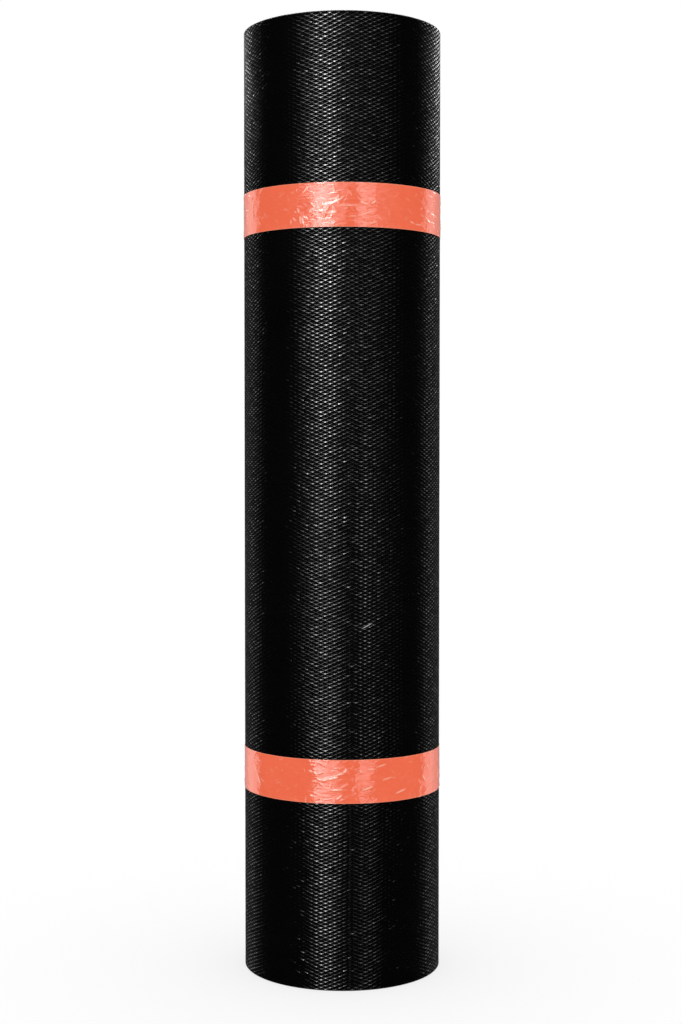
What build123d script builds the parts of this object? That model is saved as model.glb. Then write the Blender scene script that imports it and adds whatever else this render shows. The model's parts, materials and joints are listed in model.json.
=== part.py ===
from build123d import *
from math import acos, degrees
import os

# A roll of bituminous roofing felt, standing on its end. The felt is wound on itself without a core,
# and two bands of adhesive tape keep it from unrolling. Z is the roll's axis, the foot is at Z = 0,
# and the felt's free outer end lies at the back, on the +Y side.

# Driving dimensions, in millimetres
SHEET_WIDTH = 1000.0  # width of the felt, which is the height of the standing roll
SHEET_THICKNESS = 4.0
TURNS = 19
BORE_DIAMETER = 60.0

SEAM_WIDTH = 0.9  # mouth of the gap between one turn and the next, seen on the roll's ends
SEAM_DEPTH = 1.5  # the gap closes to nothing at this depth, and below it the turns lie tight

TAPE_WIDTH = 45.0
TAPE_THICKNESS = 0.15
UPPER_TAPE_FROM_TOP = 195.5  # from the roll's top to the middle of the upper tape
LOWER_TAPE_FROM_FOOT = 216.5  # from the roll's foot to the middle of the lower tape

# The winding is a spiral of half turns. Those on the left (-X) are about the bore's axis, and those
# on the right are about a centre half a sheet in front of it and half a sheet smaller, so each turn
# runs smoothly into the next one, a sheet's thickness further in.
bore_radius = BORE_DIAMETER / 2
half_sheet = SHEET_THICKNESS / 2
left_radius = bore_radius + TURNS * SHEET_THICKNESS
right_radius = left_radius - half_sheet
left_centre = (0, 0)
right_centre = (0, -half_sheet)

BACK, FRONT = 90, 270  # directions from the axis, in degrees
HALF_TURN = 180


def half_turn_section(outer_radius, seam_radii):
    """Half section of the roll, from its own centre out, with the open seams notched into both ends."""
    section = Pos(outer_radius / 2, SHEET_WIDTH / 2) * Rectangle(outer_radius, SHEET_WIDTH)
    # A lozenge centred on the end face leaves a V there, between the worn corners of two turns.
    half_mouth = SEAM_WIDTH / 2
    gap = Polygon((half_mouth, 0), (0, SEAM_DEPTH), (-half_mouth, 0), (0, -SEAM_DEPTH))
    section -= [Pos(radius, end) * gap for radius in seam_radii for end in (0, SHEET_WIDTH)]
    return section


def half_turned(section, centre, start):
    """Turns a half section through half a turn about its centre, counter-clockwise from start."""
    section_plane = Plane(
        origin=centre,
        x_dir=Vector(1, 0).rotate(Axis.Z, start),
        z_dir=Vector(0, -1).rotate(Axis.Z, start),
    )
    return revolve(section_plane * section, Axis(centre, (0, 0, 1)), HALF_TURN)


def felt_roll():
    """The wound felt: two halves turned about their own centres, with the bore through them."""
    left_seams = [left_radius - turn * SHEET_THICKNESS for turn in range(1, TURNS)]
    # On the right, the innermost seam would run out into the bore, so it stays closed.
    right_seams = [right_radius - turn * SHEET_THICKNESS for turn in range(1, TURNS - 1)]
    left = half_turned(half_turn_section(left_radius, left_seams), left_centre, BACK)
    right = half_turned(half_turn_section(right_radius, right_seams), right_centre, FRONT)
    bore = extrude(Circle(bore_radius), SHEET_WIDTH)
    return left + right - bore


def tape_path():
    """The loop that a tight tape takes round the felt, bridging the step at the felt's free end."""
    bridge_angle = acos(right_radius / (left_radius + half_sheet))
    left_arc = CenterArc(left_centre, left_radius, BACK, HALF_TURN)
    right_arc = CenterArc(right_centre, right_radius, FRONT, HALF_TURN - degrees(bridge_angle))
    bridge = Line(right_arc @ 1, left_arc @ 0)
    return make_face([left_arc, right_arc, bridge])


def tape(middle_height):
    """One band of tape, wound flat on the felt."""
    inside = tape_path()
    band = offset(inside, TAPE_THICKNESS) - inside
    return Pos(0, 0, middle_height - TAPE_WIDTH / 2) * extrude(band, TAPE_WIDTH)


nodes = {
    "felt_roll": felt_roll(),
    "upper_tape": tape(SHEET_WIDTH - UPPER_TAPE_FROM_TOP),
    "lower_tape": tape(LOWER_TAPE_FROM_FOOT),
}

os.makedirs("parts", exist_ok=True)
for name, shape in nodes.items():
    export_step(shape, f"parts/{name}.step")

felt_section = nodes["felt_roll"].volume / SHEET_WIDTH
print(f"outside radius {left_radius:.1f} mm, felt wound on the roll {felt_section / SHEET_THICKNESS:.0f} mm")
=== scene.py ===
# Looks for a standing roll of roofing felt: embossed film outside, wound cut edges on the ends,
# and two bands of crumpled tape
import json
import math
import random

import bmesh
import bpy
from mathutils import Matrix, Vector, noise


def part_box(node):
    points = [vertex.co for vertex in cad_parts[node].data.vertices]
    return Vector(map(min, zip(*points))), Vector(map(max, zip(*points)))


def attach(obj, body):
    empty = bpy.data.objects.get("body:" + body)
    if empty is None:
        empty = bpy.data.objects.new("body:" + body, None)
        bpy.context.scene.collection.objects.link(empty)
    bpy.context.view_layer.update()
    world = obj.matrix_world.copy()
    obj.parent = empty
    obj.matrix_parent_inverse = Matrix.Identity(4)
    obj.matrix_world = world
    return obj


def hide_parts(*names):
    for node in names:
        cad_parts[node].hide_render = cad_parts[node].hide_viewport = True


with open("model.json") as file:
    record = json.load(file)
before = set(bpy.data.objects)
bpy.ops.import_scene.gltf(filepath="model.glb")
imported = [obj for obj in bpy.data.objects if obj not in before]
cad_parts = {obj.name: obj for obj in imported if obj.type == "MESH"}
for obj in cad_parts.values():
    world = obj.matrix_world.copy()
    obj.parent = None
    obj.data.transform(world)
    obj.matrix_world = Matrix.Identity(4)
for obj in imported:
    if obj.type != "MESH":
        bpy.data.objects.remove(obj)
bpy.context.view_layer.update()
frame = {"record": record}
perMetre = 1000  # millimetres

# The winding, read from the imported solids. Half turns on the left are about the bore's axis, those on the
# right about a centre half a sheet in front of it, so the sheet steps in by its own thickness each turn.
feltLow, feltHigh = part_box("felt_roll")
rollHeight = feltHigh.z
leftRadius = -feltLow.x
rightRadius = feltHigh.x
sheetThickness = 2 * (leftRadius - rightRadius)
boreRadius = frame["record"]["mounts"][0]["dims"]["r_mm"] / perMetre
wholeTurns = round((leftRadius - boreRadius) / sheetThickness)
sheetTurns = wholeTurns - 0.5  # the sheet's inner end lies at the front of the bore
turnLength = math.pi * (leftRadius + rightRadius)
turnSlack = 1e-5  # a turn that lacks no more than this counts as whole
print("winding:", sheetTurns, "turns of", round(sheetThickness * perMetre, 2), "mm felt")


def windOn(turn, depth, height):
    # turn 0 is the free end at the back, and the sheet runs anticlockwise and inwards from there
    lap = math.floor(turn + turnSlack)
    angle = math.pi * (0.5 + 2 * (turn - lap))
    inset = lap * sheetThickness + depth
    if turn - lap < 0.5:
        centre = 0
        radius = leftRadius - inset
    else:
        centre = -sheetThickness / 2
        radius = rightRadius - inset
    return Vector((radius * math.cos(angle), centre + radius * math.sin(angle), height))


def clamp(value):
    return min(1, max(0, value))


def newPiece(name, bm, finishes):
    mesh = bpy.data.meshes.new(name)
    bm.to_mesh(mesh)
    bm.free()
    piece = bpy.data.objects.new(name, mesh)
    bpy.context.scene.collection.objects.link(piece)
    for finish in finishes:
        mesh.materials.append(finish)
    return piece


# Shader sums: a wire is one socket, and sums of wires add Math nodes
class Wire:
    def __init__(self, finish, socket):
        self.finish = finish
        self.socket = socket

    def sum(self, operation, *values):
        return self.finish.add("ShaderNodeMath", {"operation": operation}, values)

    def __add__(self, other):
        return self.sum("ADD", self, other)

    def __radd__(self, other):
        return self.sum("ADD", other, self)

    def __sub__(self, other):
        return self.sum("SUBTRACT", self, other)

    def __rsub__(self, other):
        return self.sum("SUBTRACT", other, self)

    def __mul__(self, other):
        return self.sum("MULTIPLY", self, other)

    def __rmul__(self, other):
        return self.sum("MULTIPLY", other, self)

    def __abs__(self):
        return self.sum("ABSOLUTE", self)

    def whole(self):
        return self.sum("FLOOR", self)

    def part(self):
        return self.sum("FRACT", self)

    def least(self, other):
        return self.sum("MINIMUM", self, other)

    def between(self, low, high):
        # low where the wire is 0, high where it is 1
        return low + (high - low) * self

    def above(self, low, high):
        # 0 below low, 1 above high, a soft step between them
        return self.finish.add("ShaderNodeMapRange", {"interpolation_type": "SMOOTHSTEP"},
                               {"Value": self, "From Min": low, "From Max": high})


class Finish:
    def __init__(self, tree):
        self.tree = tree
        tree.nodes.clear()

    def add(self, kind, settings, sockets, out=0):
        node = self.tree.nodes.new(kind)
        for name, value in settings.items():
            if name == "stops":
                self.setStops(node.color_ramp, value)
            else:
                setattr(node, name, value)
        pairs = sockets.items() if isinstance(sockets, dict) else enumerate(sockets)
        for name, value in pairs:
            if isinstance(value, Wire):
                self.tree.links.new(value.socket, node.inputs[name])
            else:
                node.inputs[name].default_value = value
        return Wire(self, node.outputs[out]) if len(node.outputs) else node

    def setStops(self, ramp, stops):
        while len(ramp.elements) < len(stops):
            ramp.elements.new(1)
        for element, (place, grey) in zip(ramp.elements, stops):
            element.position = place
            element.color = (grey, grey, grey, 1)

    def ramp(self, stops, value):
        return self.add("ShaderNodeValToRGB", {"stops": stops}, [value])

    def blendColours(self, factor, first, second):
        return self.add("ShaderNodeMix", {"data_type": "RGBA"}, {0: factor, 6: first, 7: second}, out=2)

    def noise(self, vector, scale, detail):
        return self.add("ShaderNodeTexNoise", {}, {"Vector": vector, "Scale": scale, "Detail": detail})

    def objectPlace(self):
        return self.add("ShaderNodeTexCoord", {}, {}, out="Object")

    def mapPlace(self):
        return self.add("ShaderNodeUVMap", {}, {})

    def vectors(self, operation, values):
        out = "Value" if operation in ("LENGTH", "DOT_PRODUCT") else "Vector"
        return self.add("ShaderNodeVectorMath", {"operation": operation}, values, out)

    def axis(self, vector, name):
        return self.add("ShaderNodeSeparateXYZ", {}, [vector], out=name)

    def bump(self, height, distance, strength):
        sockets = {"Height": height, "Distance": distance, "Strength": strength}
        return self.add("ShaderNodeBump", {}, sockets)

    def surface(self, sockets):
        shader = self.add("ShaderNodeBsdfPrincipled", {}, sockets)
        self.add("ShaderNodeOutputMaterial", {}, {"Surface": shader})


def newFinish(name):
    material = bpy.data.materials.new(name)
    material.use_nodes = True
    return material, Finish(material.node_tree)


# The felt, in metres. Patches and grains are a noise's scale and detail, bumps its distance and strength.
felt = {
    # embossed outer face
    "lozenges": 72,  # round one turn
    "rows": 247,
    "dimple": 0.00066,  # depth of a lozenge below the ridges round it
    "dimpleSpread": 0.22,  # share by which a lozenge may be shallower
    "ridgeSpread": 0.00008,  # how far a ridge may lie below the others
    "rounded": 0.9,  # share of the lozenges that are rounded inside, like a bowl
    "rowStretch": 0.045,  # rows are this much taller at the top, and shorter at the foot
    "wander": 0.0016,  # how far the rows drift
    "wanderLength": 0.12,
    "margin": 0.03,  # share of the sheet, along its borders, where the drift fades out
    "border": 1e-4,  # share of the sheet that counts as its border, which isn't shaken
    "trim": 1e-5,  # share of the sheet within which a point counts as on its border when it is trimmed
    "jitter": 0.07,  # of one lozenge
    "seed": 4,
    # film on that face
    "filmBlacks": ((0.0009, 0.0009, 0.001, 1), (0.0016, 0.0016, 0.0017, 1)),
    "filmPatches": (18, 3),
    "filmGrain": (500, 2),
    "filmRoughness": (0.4, 0.55),
    "filmBump": (0.0002, 0.3),
    "strip": (0.02, 0.13),  # share of a lozenge above its lower ridges over which the shine fades
    "stripGrain": 0.12,  # how ragged the strip is
    "foot": (0.05, 0.35),  # share of a lozenge sideways from its lowest point, over which its foot ends
    "footReach": 0.2,  # how much further up the strip may reach at the foot
    "stripEnds": (0.42, 0.88),  # share of a lozenge sideways, over which the strip ends
    "ridgeChange": (-0.1, 0.1),  # share of a lozenge sideways, from the falling ridge to the rising one
    "shine": 0.75,
    "dullestShine": 0.35,  # of that, in the dullest lozenge
    "besideShine": 0.75,  # of that, away from the foot
    "fallingShine": 0.5,  # of that, above the ridges that fall to the right
    "scrape": {
        "middle": (0.0245, -0.103, 0.3762),
        "slant": 27.6,  # degrees
        "reach": (0.0075, 0.02, 0.0007),
        "fade": (0.5, 1),  # share of its reach
        "grey": (0.34, 0.34, 0.34, 1),
    },
    # cut edges, on the ends of the roll
    "strips": 6,  # across the sheet's thickness
    "corner": 0.01,  # share of the thickness that counts as a corner of the cut, in the seam
    "seamDrop": 0.0012,  # of a corner below the roll's end plane
    "shoulder": 0.3,  # share of the thickness, from its middle, where the worn shoulders start
    "shoulderDrop": 0.0003,
    "unevenness": 0.0005,
    "unevenPerTurn": 2.3,
    "unevenEnds": 7.3,  # keeps the two ends unlike
    "unevenLevel": 0.5,  # keeps off the noise's zeros
    "cutBlacks": ((0.004, 0.004, 0.004, 1), (0.014, 0.013, 0.012, 1)),
    "cutPatches": (60, 3),
    "cutGrain": (700, 4),
    "cutRoughness": (0.5, 0.75),
    "cutBump": (0.0006, 0.6),
    "fleece": (0.12, 0.105, 0.088, 1),
    "fleeceDepth": 0.56,  # share of the thickness, from the outer face
    "fleeceWander": 0.12,
    "fleeceWidth": (0.03, 0.09),  # share of the thickness beside its middle, over which it fades
    "fleeceGaps": (0.35, 0.6),  # grain between which it comes to show
    # inner face, in the bore
    "boreRows": 24,
    "innerBlacks": ((0.003, 0.003, 0.003, 1), (0.011, 0.011, 0.011, 1)),
    "innerGrain": (900, 3),
    "innerRoughness": (0.45, 0.75),
    "innerBump": (0.0004, 0.5),
    "weld": 2e-5,  # points of two faces this near become one
}


def rowHeight(share):
    stretched = share * (1 - felt["rowStretch"]) + felt["rowStretch"] * share * share
    return felt["seamDrop"] + stretched * (rollHeight - 2 * felt["seamDrop"])


def edgeDrop(turn, across, end):
    # how far a point of the cut edge lies below the roll's end plane
    if across < felt["corner"] or across > 1 - felt["corner"]:
        return felt["seamDrop"]
    shoulder = felt["shoulderDrop"] if abs(across - 0.5) > felt["shoulder"] else 0
    place = Vector((turn * felt["unevenPerTurn"], felt["unevenEnds"] * end, felt["unevenLevel"]))
    return shoulder + felt["unevenness"] * (0.5 + 0.5 * noise.noise(place))


def sheetHeight(turn, across, share):
    low = edgeDrop(turn, across, 0)
    high = rollHeight - edgeDrop(turn, across, 1)
    flat = (rowHeight(share) - felt["seamDrop"]) / (rollHeight - 2 * felt["seamDrop"])
    return low + flat * (high - low)


def embossFace(bm):
    across = felt["lozenges"]
    rows = felt["rows"]
    side = across + rows
    bmesh.ops.create_grid(bm, x_segments=side, y_segments=side, size=side / 2)
    # a square grid stood on its corner and squeezed is a field of lozenges
    turned = Matrix.Rotation(math.radians(45), 4, "Z")
    squeezed = Matrix.Diagonal((math.sqrt(0.5) / across, math.sqrt(0.5) / rows, 1, 1))
    moved = Matrix.Translation((0.5, 0.5, 0))
    bmesh.ops.transform(bm, matrix=moved @ squeezed @ turned, verts=bm.verts)
    for corner, outward in (((0, 0, 0), (-1, 0, 0)), ((0, 0, 0), (0, -1, 0)),
                            ((1, 1, 0), (1, 0, 0)), ((1, 1, 0), (0, 1, 0))):
        bmesh.ops.bisect_plane(bm, geom=bm.verts[:] + bm.edges[:] + bm.faces[:], dist=felt["trim"],
                               plane_co=corner, plane_no=outward, clear_outer=True)
    pits = bmesh.ops.poke(bm, faces=bm.faces[:], offset=-1, center_mode="MEAN", use_relative_offset=False)
    rng = random.Random(felt["seed"])
    for edge in bm.edges:
        edge.smooth = False
    for pit in pits["verts"]:
        rounded = rng.random() < felt["rounded"]
        for valley in pit.link_edges:
            valley.smooth = rounded
    uvMap = bm.loops.layers.uv.verify()
    for face in bm.faces:
        face.smooth = True
        for loop in face.loops:
            loop[uvMap].uv = loop.vert.co.xy
    for vert in bm.verts:
        x, y, low = vert.co
        inside = min(x, 1 - x, y, 1 - y)
        fade = clamp(inside / felt["margin"])
        place = Vector((x * turnLength, y * rollHeight, 0)) / felt["wanderLength"]
        drift = noise.noise_vector(place) * felt["wander"] * fade
        shaken = felt["jitter"] if inside > felt["border"] else 0
        x += drift.x / turnLength + shaken * rng.uniform(-0.5, 0.5) / across
        y += drift.y / rollHeight + shaken * rng.uniform(-0.5, 0.5) / rows
        depth = -low * felt["dimple"] * (1 - felt["dimpleSpread"] * rng.random())
        if inside > felt["border"]:
            depth += (1 + low) * felt["ridgeSpread"] * rng.random()
        vert.co = windOn(x, depth, rowHeight(y))


def mapGrid(bm, columns, rows, place, finish):
    # lays a flat grid, marks its map and moves each of its points into place
    verts = bmesh.ops.create_grid(bm, x_segments=columns, y_segments=rows, size=0.5)["verts"]
    bmesh.ops.translate(bm, verts=verts, vec=(0.5, 0.5, 0))
    uvMap = bm.loops.layers.uv.verify()
    for face in {face for vert in verts for face in vert.link_faces}:
        face.material_index = finish
        face.smooth = True
        for loop in face.loops:
            loop[uvMap].uv = loop.vert.co.xy
    for vert in verts:
        vert.co = place(vert.co.x, vert.co.y)


def woundEnd(end):
    def place(x, y):
        turn = x * sheetTurns
        return windOn(turn, sheetThickness * y, sheetHeight(turn, y, end))
    return place


def freeEnd(x, y):
    return windOn(0, sheetThickness * x, sheetHeight(0, x, y))


def innerEnd(x, y):
    return windOn(sheetTurns, sheetThickness * x, sheetHeight(sheetTurns, x, y))


def boreWall(x, y):
    return windOn(sheetTurns - 1 + x, sheetThickness, rowHeight(y))


def buildFelt():
    bm = bmesh.new()
    embossFace(bm)
    cut, inner = 1, 2
    columns = round(felt["lozenges"] * sheetTurns)
    for end in (0, 1):
        mapGrid(bm, columns, felt["strips"], woundEnd(end), cut)
    mapGrid(bm, felt["strips"], felt["rows"], freeEnd, cut)
    mapGrid(bm, felt["strips"], felt["boreRows"], innerEnd, cut)
    mapGrid(bm, felt["lozenges"], felt["boreRows"], boreWall, inner)
    bmesh.ops.remove_doubles(bm, verts=bm.verts, dist=felt["weld"])
    bmesh.ops.recalc_face_normals(bm, faces=bm.faces)
    return newPiece("felt", bm, [filmFinish(), cutFinish(), innerFinish()])


def filmFinish():
    # dull in the lozenges, with a shiny strip above their lower ridges, widest at the foot of each,
    # and one small grey scrape
    material, finish = newFinish("black_film")
    place = finish.objectPlace()
    patches = finish.noise(place, *felt["filmPatches"])
    grain = finish.noise(place, *felt["filmGrain"])
    sheet = finish.mapPlace()
    along = finish.axis(sheet, "X") * felt["lozenges"]
    upwards = finish.axis(sheet, "Y") * felt["rows"]
    falling = upwards + along
    rising = upwards - along
    lozenge = finish.add("ShaderNodeCombineXYZ", {}, [falling.whole(), rising.whole(), 0.0])
    luck = finish.add("ShaderNodeTexWhiteNoise", {"noise_dimensions": "2D"}, {"Vector": lozenge})
    fromRidge = falling.part().least(rising.part()) + felt["stripGrain"] * (grain - 0.5)
    sideways = falling.part() - rising.part()
    foot = 1 - abs(sideways).above(*felt["foot"])
    strip = 1 - (fromRidge - felt["footReach"] * foot * luck).above(*felt["strip"])
    shine = felt["shine"] * strip * sideways.above(*felt["ridgeChange"]).between(felt["fallingShine"], 1)
    shine = shine * luck.between(felt["dullestShine"], 1) * foot.between(felt["besideShine"], 1)
    scrape = felt["scrape"]
    fromScrape = finish.add("ShaderNodeMapping", {"vector_type": "TEXTURE"}, {
        "Vector": place,
        "Location": scrape["middle"],
        "Rotation": (0, -math.radians(scrape["slant"]), 0),
        "Scale": scrape["reach"],
    })
    scraped = 1 - finish.vectors("LENGTH", [fromScrape]).above(*scrape["fade"])
    black = finish.blendColours(patches, *felt["filmBlacks"])
    finish.surface({
        "Base Color": finish.blendColours(scraped, black, scrape["grey"]),
        "Roughness": patches.between(*felt["filmRoughness"]),
        "Specular IOR Level": 0.005,
        "Coat Weight": shine * (1 - abs(sideways).above(*felt["stripEnds"])),
        "Coat Roughness": 0.12,
        "Coat IOR": 2.0,
        "Normal": finish.bump(grain, *felt["filmBump"]),
    })
    return material


def cutFinish():
    # the cut edge of the bitumen, with the carrier fleece as a pale line in it
    material, finish = newFinish("cut_bitumen")
    place = finish.objectPlace()
    across = finish.axis(finish.mapPlace(), "Y")
    grain = finish.noise(place, *felt["cutGrain"])
    patches = finish.noise(place, *felt["cutPatches"])
    offLine = abs(across + felt["fleeceWander"] * (patches - 0.5) - felt["fleeceDepth"])
    fleece = (1 - offLine.above(*felt["fleeceWidth"])) * grain.above(*felt["fleeceGaps"])
    bitumen = finish.blendColours(patches, *felt["cutBlacks"])
    finish.surface({
        "Base Color": finish.blendColours(fleece, bitumen, felt["fleece"]),
        "Roughness": grain.between(*felt["cutRoughness"]),
        "Specular IOR Level": 0.15,
        "Normal": finish.bump(grain, *felt["cutBump"]),
    })
    return material


def innerFinish():
    material, finish = newFinish("inner_face")
    grain = finish.noise(finish.objectPlace(), *felt["innerGrain"])
    finish.surface({
        "Base Color": finish.blendColours(grain, *felt["innerBlacks"]),
        "Roughness": grain.between(*felt["innerRoughness"]),
        "Normal": finish.bump(grain, *felt["innerBump"]),
    })
    return material


feltPiece = buildFelt()
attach(feltPiece, "root")
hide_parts("felt_roll")
print("felt:", len(feltPiece.data.polygons), "faces")

# Bands of tape, in millimetres
tape = {
    "columns": 1180,
    "rows": 79,
    "start": 0.06,  # of a turn, where the band's first end is stuck down at the back
    "overlap": 0.09,  # of a turn
    "climb": 0.006,  # of a turn, in which the second end climbs on to the first
    "overlapLift": 2,  # thicknesses of film that the second end is lifted by
    "onBorder": 1e-3,  # this near to the band's border counts as on it
    # creases
    "crease": 0.85,  # half width of a fold
    "taper": 3,  # a higher power keeps a fold's height nearer to its ends
    "tent": 5,  # how far the film is lifted beside a fold
    "tentShare": 0.4,  # of the fold's height
    "binWidth": 4,  # points are sorted into bins along the band, to find those near a crease
    "foldSheenHeights": (0.1, 0.28),  # a fold this high starts to turn pale, with its painted highlight, and one this high is at its palest
    "strayFoldSheen": 0.2,  # of that, on a stray crease
    "strays": 300,
    "strayHeights": (0.08, 0.3),
    "strayLengths": (2.5, 11),
    "straySlant": 0.7,  # radians, how far their slants spread
    "puckers": 90,  # short creases at the band's borders
    "puckerLean": 2,
    "puckerReach": (0.75, 0.92),  # share of the half width at which a pucker ends
    "puckerHeights": (0.08, 0.2),
    # waves and wrinkles
    "waves": ((0.05, 17), (0.03, 6.5)),  # height and length of the broad waves
    "wrinkle": 0.24,  # height of the fine wrinkles
    "wrinkleWidth": 0.28,  # noise off zero at which a wrinkle ends
    "wrinkleLength": 6,
    "wrinkleStretch": 2.4,  # along the band
    "wrinklePlane": 40,  # keeps this noise unlike the waves'
    "patchLength": 24,
    "patchPlane": 80,
    "patchCover": 0.6,  # wrinkles where the patches' noise is zero
    "patchContrast": 2,
    # film: patches, grain and flecks are a noise's scale and detail, the bump its distance and strength
    "corals": ((0.82, 0.127, 0.06, 1), (0.975, 0.187, 0.094, 1)),
    # colour of the folds: the film whitens there, with a painted highlight on the fold lines
    "pale": (0.97, 0.62, 0.48, 1),
    "palestFoldSheen": 0.95,
    # painted highlight: a pale line along the band's two edges, where the edge catches the light
    "rimHighlight": (0.95, 0.36, 0.22, 1),
    "rimHighlightShare": 0.5,
    "rimHighlightPlace": (0.482, 0.496),  # share of the width, from the middle line
    "patches": (45, 3),
    "grain": (420, 3),
    "grainHeight": 0.2,
    "lineScale": (60, 12, 1),
    "lineWidth": 0.16,
    "linePatches": (0.3, 0.5),  # the patches' noise between which lines come to show
    "flecks": (260, 2),
    "fleckHeight": 1.5,
    "fleckSize": (0.66, 0.72),
    "fleckPatches": (0.48, 0.6),
    "roughness": (0.06, 0.11),
    "bump": (0.0002, 0.5),
}

# Creases are listed: along the band from the front middle, up from its middle line, to the same of
# the other end, then how far the crease stands up, all in millimetres. The seed is that of the random ones.
bands = {
    "upper_tape": {
        "seed": 11,
        "creases": (
            (2, 8, -14, -1, 0.34), (-14, -1, -17, -8, 0.2), (-11, -1, -7, -5, 0.16),
            (-25, -1, -15, 0, 0.22), (-27, -2, -20, -9, 0.18), (-17, -8, -5, -8, 0.28),
            (-23, -13, -17, -10, 0.16), (-36, -7, -29, -2, 0.22), (-45, -10, -44, -19, 0.28),
            (-43, -12, -41, -19, 0.26), (-42, -11, -36, -14, 0.26), (-55, -13, -55, -19, 0.22),
            (-48, -2, -46, -8, 0.22), (-8, -1, 17, -1, 0.2), (16, 3, 27, 0, 0.24), (29, 1, 35, 5, 0.26),
            (3, -12, 16, -12, 0.16), (16, -12, 33, -5, 0.2), (28, -19, 37, -16, 0.2),
            (101, 0, 111, -1, 0.22), (99, -6, 111, -13, 0.28), (115, -8, 125, -17, 0.24),
            (111, -2, 133, -4, 0.2), (75, -13, 82, -16, 0.22), (82, -16, 95, -16, 0.2),
            (-112, 12, -115, 1, 0.2), (-115, 1, -113, -8, 0.2),
        ),
    },
    "lower_tape": {
        "seed": 23,
        "creases": (
            (-27, 3, -22, 1, 0.3), (-22, 1, -15, 2, 0.36), (-15, 2, -4, 5, 0.36), (-5, 7, 1, 9, 0.3),
            (1, 9, 4, 14, 0.3), (-24, -2, -17, -7, 0.18), (-12, 0, -13, -6, 0.18), (-11, 0, -7, -5, 0.16),
            (-14, -9, 1, -8, 0.3), (-33, 0, -27, 0, 0.22), (-31, -10, -25, -4, 0.2),
            (-35, -14, -30, -16, 0.28), (-36, 11, -32, 9, 0.22), (-31, 10, -27, 7, 0.22),
            (-7, -19, 0, -13, 0.22), (16, 12, 21, 9, 0.26), (24, 13, 36, 12, 0.2), (35, 14, 47, 17, 0.22),
            (17, -10, 33, -5, 0.26), (40, 0, 54, 3, 0.2), (56, -15, 72, -11, 0.26), (96, 0, 103, -8, 0.26),
            (105, 10, 108, 5, 0.24), (-111, 7, -107, 2, 0.2), (-107, 2, -99, -12, 0.26),
            (-100, -4, -92, -8, 0.16),
        ),
    },
}
bridgeTurn = math.acos(rightRadius / (leftRadius + sheetThickness / 2)) / (2 * math.pi)


def tapeOn(share, lift, height):
    # tight round the felt, and straight over the step at its free end
    turn = share % 1
    if turn < 1 - bridgeTurn:
        return windOn(turn, -lift, height)
    reach = (turn - 1 + bridgeTurn) / bridgeTurn
    return windOn(1 - bridgeTurn, -lift, height).lerp(windOn(0, -lift, height), reach)


def strayCreases(rng, halfLength, halfWidth):
    creases = []
    for _ in range(tape["strays"]):
        x = rng.uniform(-halfLength, halfLength)
        y = rng.uniform(-halfWidth, halfWidth)
        length = rng.uniform(*tape["strayLengths"])
        slant = rng.gauss(0, tape["straySlant"])
        height = rng.uniform(*tape["strayHeights"])
        creases.append((x, y, x + length * math.cos(slant), y + length * math.sin(slant), height))
    for _ in range(tape["puckers"]):
        x = rng.uniform(-halfLength, halfLength)
        border = rng.choice((-halfWidth, halfWidth))
        lean = rng.uniform(-tape["puckerLean"], tape["puckerLean"])
        reach = rng.uniform(*tape["puckerReach"])
        height = rng.uniform(*tape["puckerHeights"])
        creases.append((x, border, x + lean, border * reach, height))
    return creases


def creaseShape(x, y, crease):
    # how far up the sharp fold a point is, and how far up the slack film beside it
    x0, y0, x1, y1 = crease[:4]
    span = Vector((x1 - x0, y1 - y0))
    step = Vector((x - x0, y - y0))
    along = clamp(step.dot(span) / span.length_squared)
    away = (step - span * along).length
    taper = 1 - abs(2 * along - 1) ** tape["taper"]
    fold = taper * math.exp(-(away / tape["crease"]) ** 2)
    tent = max(0, 1 - away / tape["tent"])
    return fold, tent


def addCrease(bins, crease, pale, palestFoldSheen):
    # lifts the points near a crease, and marks how pale they are along its fold, as whitened film and
    # painted highlight
    height = crease[4]
    low, high = tape["foldSheenHeights"]
    stretched = palestFoldSheen * clamp((height - low) / (high - low))
    first = int((min(crease[0], crease[2]) - tape["tent"]) // tape["binWidth"])
    last = int((max(crease[0], crease[2]) + tape["tent"]) // tape["binWidth"])
    for column in range(first, last + 1):
        for vert in bins.get(column, ()):
            fold, tent = creaseShape(vert.co.x, vert.co.y, crease)
            vert.co.z += height * (fold + tape["tentShare"] * tent)
            vert[pale] = max(vert[pale], fold ** 2 * stretched)


def wrinkleHeight(x, y, seed):
    # thin curved lines where the noise passes through zero, drawn out along the band, gathered in patches
    drawn = Vector((x / tape["wrinkleStretch"], y, seed + tape["wrinklePlane"])) / tape["wrinkleLength"]
    line = max(0, 1 - abs(noise.noise(drawn)) / tape["wrinkleWidth"])
    patch = noise.noise(Vector((x, y, seed + tape["patchPlane"])) / tape["patchLength"])
    return tape["wrinkle"] * line * clamp(tape["patchCover"] + tape["patchContrast"] * patch)


def crumple(bm, folds, strays, seed):
    # the flat band: broad waves and wrinkles, then each crease on the points near it
    pale = bm.verts.layers.float.new("pale")
    bins = {}
    for vert in bm.verts:
        bins.setdefault(int(vert.co.x // tape["binWidth"]), []).append(vert)
        for height, length in tape["waves"]:
            vert.co.z += height * noise.noise(Vector((vert.co.x, vert.co.y, seed)) / length)
        vert.co.z += wrinkleHeight(vert.co.x, vert.co.y, seed)
    for crease in folds:
        addCrease(bins, crease, pale, 1)
    for crease in strays:
        addCrease(bins, crease, pale, tape["strayFoldSheen"])


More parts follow.
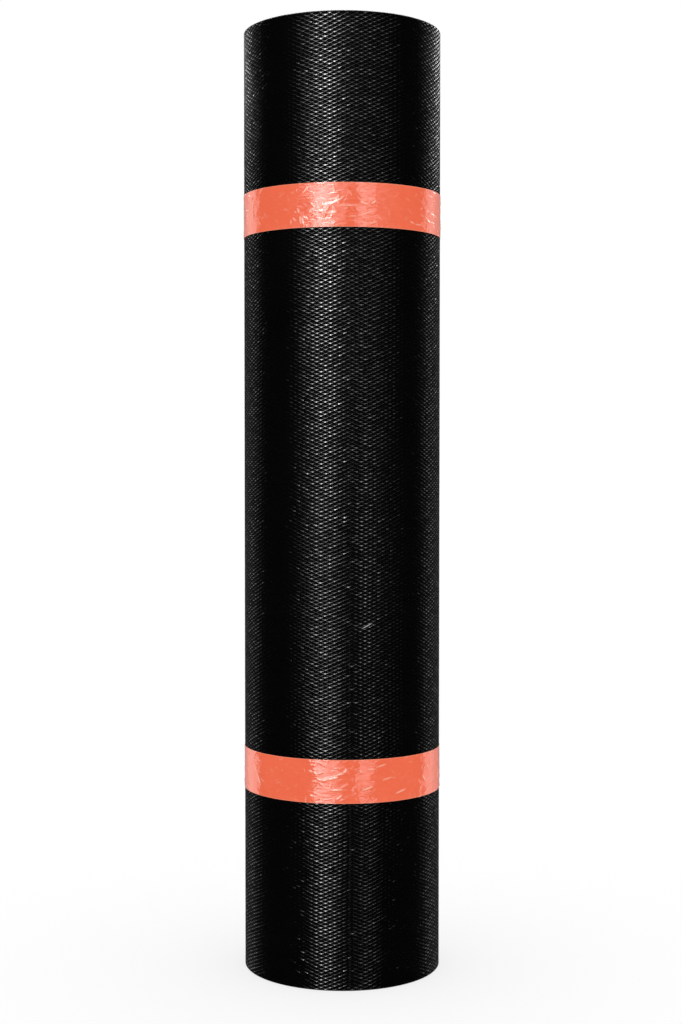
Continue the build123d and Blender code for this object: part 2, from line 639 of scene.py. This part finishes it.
def closeUnderside(bm, width):
    # a skirt down to the felt, then one flat strip across for each column of the band
    border = [edge for edge in bm.edges if edge.is_boundary]
    for edge in border:
        edge.smooth = False
    skirt = bmesh.ops.extrude_edge_only(bm, edges=border)["geom"]
    for vert in skirt:
        if isinstance(vert, bmesh.types.BMVert):
            vert.co.z = 0

    def onBorder(vert):
        return abs(abs(vert.co.y) - width / 2) < tape["onBorder"]

    sides = [edge for edge in bm.edges if edge.is_boundary and all(onBorder(vert) for vert in edge.verts)]
    bmesh.ops.bridge_loops(bm, edges=sides)
    bmesh.ops.holes_fill(bm, edges=[edge for edge in bm.edges if edge.is_boundary], sides=0)


def buildTape(node, creases, seed, finish):
    low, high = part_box(node)
    width = (high.z - low.z) * perMetre
    length = (1 + tape["overlap"]) * turnLength * perMetre
    front = (0.5 - tape["start"]) * turnLength * perMetre  # from the band's first end to the front middle
    film = (-low.x - leftRadius) * perMetre
    bm = bmesh.new()
    bmesh.ops.create_grid(bm, x_segments=tape["columns"], y_segments=tape["rows"], size=0.5)
    flat = Matrix.Translation((length / 2 - front, 0, 0)) @ Matrix.Diagonal((length, width, 1, 1))
    bmesh.ops.transform(bm, matrix=flat, verts=bm.verts)
    uvMap = bm.loops.layers.uv.verify()
    for face in bm.faces:
        face.smooth = True
        for loop in face.loops:
            loop[uvMap].uv = (loop.vert.co.x / perMetre, loop.vert.co.y / width + 0.5)
    rng = random.Random(seed)
    crumple(bm, creases, strayCreases(rng, length / 2, width / 2), seed)
    lowest = min(vert.co.z for vert in bm.verts)
    bmesh.ops.translate(bm, verts=bm.verts, vec=(0, 0, film - lowest))
    closeUnderside(bm, width)
    middle = (low.z + high.z) / 2
    for vert in bm.verts:
        share = 0.5 + vert.co.x / perMetre / turnLength
        onFirst = clamp((share - 1 - tape["start"]) / tape["climb"] + 1)
        lift = vert.co.z + onFirst * tape["overlapLift"] * film
        vert.co = tapeOn(share, lift / perMetre, middle + vert.co.y / perMetre)
    bmesh.ops.recalc_face_normals(bm, faces=bm.faces)
    piece = newPiece(node + "_film", bm, [finish])
    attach(piece, "root")
    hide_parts(node)
    print(node + ":", len(piece.data.polygons), "faces")


def tapeFinish():
    # glossy film, paler along its folds, where it whitens and a painted highlight lies on the fold lines,
    # with a painted highlight along its rims, and fine lines and flecks where it has crinkled
    material, finish = newFinish("coral_tape")
    place = finish.objectPlace()
    band = finish.mapPlace()
    # painted highlight along the band's two edges
    rimHighlight = abs(finish.axis(band, "Y") - 0.5).above(*tape["rimHighlightPlace"])
    patches = finish.noise(place, *tape["patches"])
    fine = finish.noise(place, *tape["grain"])
    drawn = finish.vectors("MULTIPLY", [band, tape["lineScale"]])
    lines = 1 - abs(finish.noise(drawn, 1, 1) - 0.5).above(0, tape["lineWidth"])
    flecks = finish.noise(place, *tape["flecks"]).above(*tape["fleckSize"])
    flecks = flecks * patches.above(*tape["fleckPatches"])
    crinkles = lines * patches.above(*tape["linePatches"]) + tape["grainHeight"] * fine
    crinkles = crinkles + tape["fleckHeight"] * flecks
    coral = finish.blendColours(0.5 * patches + 0.5 * fine, *tape["corals"])
    # paler along the folds: whitened film, and painted highlight on the fold lines
    pale = finish.add("ShaderNodeAttribute", {"attribute_name": "pale"}, {}, out="Fac")
    folded = finish.blendColours(tape["palestFoldSheen"] * pale, coral, tape["pale"])
    finish.surface({
        "Base Color": finish.blendColours(rimHighlight * tape["rimHighlightShare"], folded, tape["rimHighlight"]),
        "Roughness": patches.between(*tape["roughness"]),
        "Normal": finish.bump(crinkles, *tape["bump"]),
    })
    return material


coralTape = tapeFinish()
for node, band in bands.items():
    buildTape(node, band["creases"], band["seed"], coralTape)

# Camera, fitted to the outline of the roll in the photograph
camera = {"place": (-0.0021, -1.8546, 0.5494), "tilt": -1.852, "lens": 60.42, "film": 36}
cameraData = bpy.data.cameras.new("camera")
cameraData.lens = camera["lens"]
cameraData.sensor_width = camera["film"]
cameraObject = bpy.data.objects.new("camera", cameraData)
cameraObject.location = camera["place"]
cameraObject.rotation_euler = (math.radians(90 + camera["tilt"]), 0, 0)
bpy.context.scene.collection.objects.link(cameraObject)
bpy.context.scene.camera = cameraObject

# Softboxes only show in the gloss. Sides are degrees to the right of the camera's side, heights are in
# metres. Across and upwards are ramps of brightness, from a box's left to its right and from its foot up.
softboxDistance = 2.5  # metres from the roll's axis
wingHeights = (0.5, 1.6)
wingUpwards = ((0, 0.4), (0.1, 1), (0.43, 1), (0.5, 0.2), (0.68, 0.2), (0.75, 1), (0.95, 1), (1, 0.4))
softboxes = {
    "keyLow": {
        "sides": (-36, 2),
        "heights": (-0.9, 1.45),
        "radiance": 15,
        "across": ((0, 0.05), (0.1, 0.45), (0.17, 0.9), (0.38, 1), (0.54, 0.75), (0.71, 0.42),
                   (0.89, 0.16), (1, 0.08)),
        "upwards": ((0, 0.13), (0.2, 0.22), (0.25, 0.43), (0.31, 0.43), (0.36, 0.27), (0.5, 0.8),
                    (0.68, 0.9), (0.72, 0.3), (0.77, 0.3), (0.81, 0.7), (0.93, 0.7), (0.97, 0.25),
                    (1, 0.25)),
    },
    "keyHigh": {
        "sides": (-58, 4),
        "heights": (1.45, 4.4),
        "radiance": 30,
        "across": ((0, 0.02), (0.15, 0.065), (0.21, 0.12), (0.32, 0.29), (0.44, 0.62), (0.52, 0.85),
                   (0.59, 0.9), (0.65, 0.85), (0.72, 0.6), (0.84, 0.17), (0.96, 0.115), (1, 0.11)),
        "upwards": ((0, 0.25), (0.05, 0.8), (0.25, 0.8), (0.75, 1)),
    },
    "fill": {
        "sides": (14, 36),
        "heights": (-0.9, 1.5),
        "radiance": 4.8,
        "across": ((0, 0.3), (0.18, 0.67), (0.36, 1), (0.68, 1), (0.82, 0.53), (1, 0.13)),
        "upwards": ((0, 0.5), (0.28, 0.65), (0.4, 0.6), (0.5, 0.25), (0.72, 0.3), (0.8, 1)),
    },
    "tail": {
        "sides": (4, 64),
        "heights": (1.45, 4.4),
        "radiance": 3.4,
        "across": ((0, 1), (0.1, 0.9), (0.22, 0.94), (0.35, 0.85), (0.46, 0.85), (0.58, 0.7),
                   (0.68, 0.55), (0.8, 0.42), (0.92, 0.28), (1, 0.2)),
        "upwards": ((0, 0.5), (0.25, 0.65), (0.75, 1)),
    },
    "leftWing": {
        "sides": (-62, -32),
        "heights": wingHeights,
        "radiance": 5.6,
        "across": ((0, 0.03), (0.1, 0.045), (0.37, 0.11), (0.63, 0.3), (0.9, 1), (1, 0.9)),
        "upwards": wingUpwards,
    },
    "rightWing": {
        "sides": (32, 70),
        "heights": wingHeights,
        "radiance": 1.95,
        "across": ((0, 1), (0.06, 1), (0.27, 0.45), (0.48, 0.35), (0.7, 0.2), (0.94, 0.15), (1, 0.1)),
        "upwards": wingUpwards,
    },
}


def buildSoftbox(name, box):
    left, right = (math.radians(side) for side in box["sides"])
    low, high = box["heights"]
    data = bpy.data.lights.new(name, "AREA")
    data.shape = "RECTANGLE"
    data.size = 2 * softboxDistance * math.tan((right - left) / 2)
    data.size_y = high - low
    data.energy = box["radiance"] * math.pi * data.size * data.size_y
    data.use_nodes = True
    finish = Finish(data.node_tree)
    face = finish.add("ShaderNodeNewGeometry", {}, {}, out="Parametric")
    across = finish.ramp(box["across"], finish.axis(face, "X"))
    upwards = finish.ramp(box["upwards"], finish.axis(face, "Y"))
    glow = finish.add("ShaderNodeEmission", {}, {"Strength": across * upwards})
    finish.add("ShaderNodeOutputLight", {}, {"Surface": glow})
    light = bpy.data.objects.new(name, data)
    turn = (left + right) / 2
    light.location = (softboxDistance * math.sin(turn), -softboxDistance * math.cos(turn), (low + high) / 2)
    light.rotation_euler = (math.radians(90), 0, turn)
    light.visible_camera = False
    light.visible_diffuse = False
    bpy.context.scene.collection.objects.link(light)


for name, box in softboxes.items():
    buildSoftbox(name, box)

# World: white to the eye and even on matt surfaces. The gloss sees a dark room with pale walls at the
# sides, behind the roll. Walls say how bright they are from behind the roll, at 0, to the open side, at 1.
room = {
    "openSide": (-0.06, -1, 0),
    "lowWalls": ((0, 0.14), (0.06, 0.26), (0.1, 0.35), (0.13, 0.55), (0.16, 0.68), (0.2, 0.75),
                 (0.265, 0.75), (0.3, 0.4), (0.34, 0)),
    "highWalls": ((0, 1), (0.05, 1), (0.09, 0.75), (0.12, 0.5), (0.16, 0.27), (0.21, 0.14),
                  (0.27, 0.045), (0.33, 0)),
    "lowLight": 2.0,
    "highLight": 11.0,
    "rise": (0.2, 0.3),  # sine of the angle above level, from the low walls to the high ones
}
world = bpy.data.worlds.new("studio")
bpy.context.scene.world = world
world.use_nodes = True
world.cycles.sampling_method = "NONE"
studio = Finish(world.node_tree)
glossyRay = studio.add("ShaderNodeLightPath", {}, {}, out="Is Glossy Ray")
heading = studio.add("ShaderNodeTexCoord", {}, {}, out="Generated")
aimed = studio.vectors("NORMALIZE", [studio.vectors("MULTIPLY", [heading, (1, 1, 0)])])
turned = studio.vectors("DOT_PRODUCT", [aimed, room["openSide"]]) * 0.5 + 0.5
lowGlow = studio.ramp(room["lowWalls"], turned) * room["lowLight"]
highGlow = studio.ramp(room["highWalls"], turned) * room["highLight"]
walls = lowGlow + (highGlow - lowGlow) * studio.axis(heading, "Z").above(*room["rise"])
backdrop = studio.add("ShaderNodeBackground", {}, {
    "Color": (1, 1, 1, 1),
    "Strength": 1 - glossyRay * (1 - walls),
})
studio.add("ShaderNodeOutputWorld", {}, {"Surface": backdrop})

# Floor: a pale disc that keeps a soft shadow under the roll and fades into the white
floorDisc = {"radius": 0.7, "segments": 96, "shadow": 0.3, "fadeStart": 0.15, "fadeEnd": 0.665}
bm = bmesh.new()
bmesh.ops.create_circle(bm, cap_ends=True, segments=floorDisc["segments"], radius=floorDisc["radius"])
floorMaterial, floorFinish = newFinish("pale_floor")
reach = floorFinish.vectors("LENGTH", [floorFinish.objectPlace()])
fade = 1 - reach.above(floorDisc["fadeStart"], floorDisc["fadeEnd"])
paint = floorFinish.add("ShaderNodeBsdfDiffuse", {}, {"Color": (1, 1, 1, 1)})
white = floorFinish.add("ShaderNodeEmission", {}, {"Strength": 1})
shown = floorFinish.add("ShaderNodeMixShader", {}, [fade * floorDisc["shadow"], white, paint])
floorFinish.add("ShaderNodeOutputMaterial", {}, {"Surface": shown})
floor = newPiece("floor", bm, [floorMaterial])
floor.visible_glossy = False

bpy.context.scene.view_settings.view_transform = "Standard"
print("camera, lights and floor are set")
